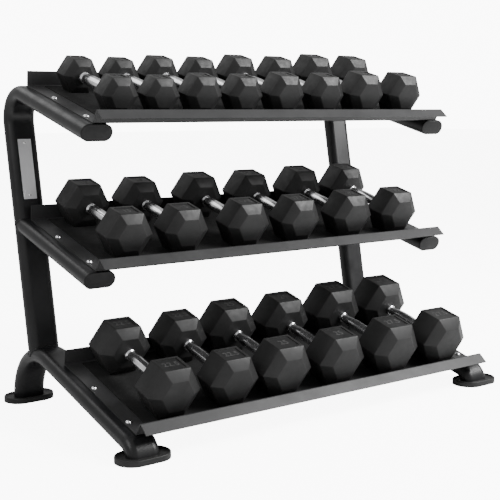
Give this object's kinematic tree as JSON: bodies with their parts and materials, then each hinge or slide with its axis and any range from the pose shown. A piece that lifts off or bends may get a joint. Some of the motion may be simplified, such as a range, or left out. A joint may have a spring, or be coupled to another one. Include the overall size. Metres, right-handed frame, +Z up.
{
  "type": "dumbbell rack",
  "caption": "Tiered rack with sloping lipped trays on flat-oval side frames, loaded with hexagonal rubber dumbbells that lift off.",
  "frame": {"origin": "on the floor, below the middle of the four feet", "axes": "+X along the rack towards the heavier dumbbells, -Y towards the user, +Z up"},
  "size_m": [1.3478, 0.757, 1.0293],
  "materials": {
    "frame_powder_coat": "satin black powder coat",
    "tray_powder_coat": "satin black powder coat on folded sheet",
    "mat_rubber": "matte black rubber sheet",
    "cap_plastic": "matte black moulded plastic",
    "foot_rubber": "satin black moulded rubber",
    "bolt_chrome": "bright chrome",
    "plain_steel": "zinc plated",
    "name_plate_aluminium": "brushed",
    "rivet_aluminium": "satin",
    "head_rubber": "fine-grained matte black rubber",
    "handle_chrome": "bright chrome, knurled grip"
  },
  "bodies": {
    "rack": {"left_base_tube": "frame_powder_coat", "right_base_tube": "frame_powder_coat", "left_upright": "frame_powder_coat", "right_upright": "frame_powder_coat", "left_middle_arm": "frame_powder_coat", "right_middle_arm": "frame_powder_coat", "top_tray": "tray_powder_coat", "middle_tray": "tray_powder_coat", "bottom_tray": "tray_powder_coat", "top_tray_mat": "mat_rubber", "middle_tray_mat": "mat_rubber", "bottom_tray_mat": "mat_rubber", "tray_bolts": "bolt_chrome", "tray_washers": "bolt_chrome", "tray_weld_nuts": "plain_steel", "arm_end_caps": "cap_plastic", "foot_pads": "foot_rubber", "foot_plates": "plain_steel", "name_plate": "name_plate_aluminium", "name_plate_rivets": "rivet_aluminium"},
    "top_dumbbell_1": {"top_dumbbell_1_covers": "head_rubber", "top_dumbbell_1_bar": "handle_chrome"},
    "top_dumbbell_2": {"top_dumbbell_2_covers": "head_rubber", "top_dumbbell_2_bar": "handle_chrome"},
    "top_dumbbell_3": {"top_dumbbell_3_covers": "head_rubber", "top_dumbbell_3_bar": "handle_chrome"},
    "top_dumbbell_4": {"top_dumbbell_4_covers": "head_rubber", "top_dumbbell_4_bar": "handle_chrome"},
    "top_dumbbell_5": {"top_dumbbell_5_covers": "head_rubber", "top_dumbbell_5_bar": "handle_chrome"},
    "top_dumbbell_6": {"top_dumbbell_6_covers": "head_rubber", "top_dumbbell_6_bar": "handle_chrome"},
    "top_dumbbell_7": {"top_dumbbell_7_covers": "head_rubber", "top_dumbbell_7_bar": "handle_chrome"},
    "top_dumbbell_8": {"top_dumbbell_8_covers": "head_rubber", "top_dumbbell_8_bar": "handle_chrome"},
    "middle_dumbbell_1": {"middle_dumbbell_1_covers": "head_rubber", "middle_dumbbell_1_bar": "handle_chrome"},
    "middle_dumbbell_2": {"middle_dumbbell_2_covers": "head_rubber", "middle_dumbbell_2_bar": "handle_chrome"},
    "middle_dumbbell_3": {"middle_dumbbell_3_covers": "head_rubber", "middle_dumbbell_3_bar": "handle_chrome"},
    "middle_dumbbell_4": {"middle_dumbbell_4_covers": "head_rubber", "middle_dumbbell_4_bar": "handle_chrome"},
    "middle_dumbbell_5": {"middle_dumbbell_5_covers": "head_rubber", "middle_dumbbell_5_bar": "handle_chrome"},
    "middle_dumbbell_6": {"middle_dumbbell_6_covers": "head_rubber", "middle_dumbbell_6_bar": "handle_chrome"},
    "bottom_dumbbell_1": {"bottom_dumbbell_1_covers": "head_rubber", "bottom_dumbbell_1_bar": "handle_chrome"},
    "bottom_dumbbell_2": {"bottom_dumbbell_2_covers": "head_rubber", "bottom_dumbbell_2_bar": "handle_chrome"},
    "bottom_dumbbell_3": {"bottom_dumbbell_3_covers": "head_rubber", "bottom_dumbbell_3_bar": "handle_chrome"},
    "bottom_dumbbell_4": {"bottom_dumbbell_4_covers": "head_rubber", "bottom_dumbbell_4_bar": "handle_chrome"},
    "bottom_dumbbell_5": {"bottom_dumbbell_5_covers": "head_rubber", "bottom_dumbbell_5_bar": "handle_chrome"},
    "bottom_dumbbell_6": {"bottom_dumbbell_6_covers": "head_rubber", "bottom_dumbbell_6_bar": "handle_chrome"}
  },
  "joints": [
    {"name": "top_dumbbell_1_lift", "type": "slide", "parent": "rack", "child": "top_dumbbell_1", "axis": [0, -0.9272, 0.3746], "range_m": [0, 0.48]},
    {"name": "top_dumbbell_2_lift", "type": "slide", "parent": "rack", "child": "top_dumbbell_2", "axis": [0, -0.9272, 0.3746], "range_m": [0, 0.48]},
    {"name": "top_dumbbell_3_lift", "type": "slide", "parent": "rack", "child": "top_dumbbell_3", "axis": [0, -0.9272, 0.3746], "range_m": [0, 0.48]},
    {"name": "top_dumbbell_4_lift", "type": "slide", "parent": "rack", "child": "top_dumbbell_4", "axis": [0, -0.9272, 0.3746], "range_m": [0, 0.48]},
    {"name": "top_dumbbell_5_lift", "type": "slide", "parent": "rack", "child": "top_dumbbell_5", "axis": [0, -0.9272, 0.3746], "range_m": [0, 0.48]},
    {"name": "top_dumbbell_6_lift", "type": "slide", "parent": "rack", "child": "top_dumbbell_6", "axis": [0, -0.9272, 0.3746], "range_m": [0, 0.48]},
    {"name": "top_dumbbell_7_lift", "type": "slide", "parent": "rack", "child": "top_dumbbell_7", "axis": [0, -0.9272, 0.3746], "range_m": [0, 0.48]},
    {"name": "top_dumbbell_8_lift", "type": "slide", "parent": "rack", "child": "top_dumbbell_8", "axis": [0, -0.9272, 0.3746], "range_m": [0, 0.48]},
    {"name": "middle_dumbbell_1_lift", "type": "slide", "parent": "rack", "child": "middle_dumbbell_1", "axis": [0, -0.9272, 0.3746], "range_m": [0, 0.48]},
    {"name": "middle_dumbbell_2_lift", "type": "slide", "parent": "rack", "child": "middle_dumbbell_2", "axis": [0, -0.9272, 0.3746], "range_m": [0, 0.48]},
    {"name": "middle_dumbbell_3_lift", "type": "slide", "parent": "rack", "child": "middle_dumbbell_3", "axis": [0, -0.9272, 0.3746], "range_m": [0, 0.48]},
    {"name": "middle_dumbbell_4_lift", "type": "slide", "parent": "rack", "child": "middle_dumbbell_4", "axis": [0, -0.9272, 0.3746], "range_m": [0, 0.48]},
    {"name": "middle_dumbbell_5_lift", "type": "slide", "parent": "rack", "child": "middle_dumbbell_5", "axis": [0, -0.9272, 0.3746], "range_m": [0, 0.48]},
    {"name": "middle_dumbbell_6_lift", "type": "slide", "parent": "rack", "child": "middle_dumbbell_6", "axis": [0, -0.9272, 0.3746], "range_m": [0, 0.48]},
    {"name": "bottom_dumbbell_1_lift", "type": "slide", "parent": "rack", "child": "bottom_dumbbell_1", "axis": [0, -0.8387, 0.5446], "range_m": [0, 0.5]},
    {"name": "bottom_dumbbell_2_lift", "type": "slide", "parent": "rack", "child": "bottom_dumbbell_2", "axis": [0, -0.8387, 0.5446], "range_m": [0, 0.5]},
    {"name": "bottom_dumbbell_3_lift", "type": "slide", "parent": "rack", "child": "bottom_dumbbell_3", "axis": [0, -0.8387, 0.5446], "range_m": [0, 0.5]},
    {"name": "bottom_dumbbell_4_lift", "type": "slide", "parent": "rack", "child": "bottom_dumbbell_4", "axis": [0, -0.8387, 0.5446], "range_m": [0, 0.5]},
    {"name": "bottom_dumbbell_5_lift", "type": "slide", "parent": "rack", "child": "bottom_dumbbell_5", "axis": [0, -0.8387, 0.5446], "range_m": [0, 0.5]},
    {"name": "bottom_dumbbell_6_lift", "type": "slide", "parent": "rack", "child": "bottom_dumbbell_6", "axis": [0, -0.8387, 0.5446], "range_m": [0, 0.5]}
  ]
}
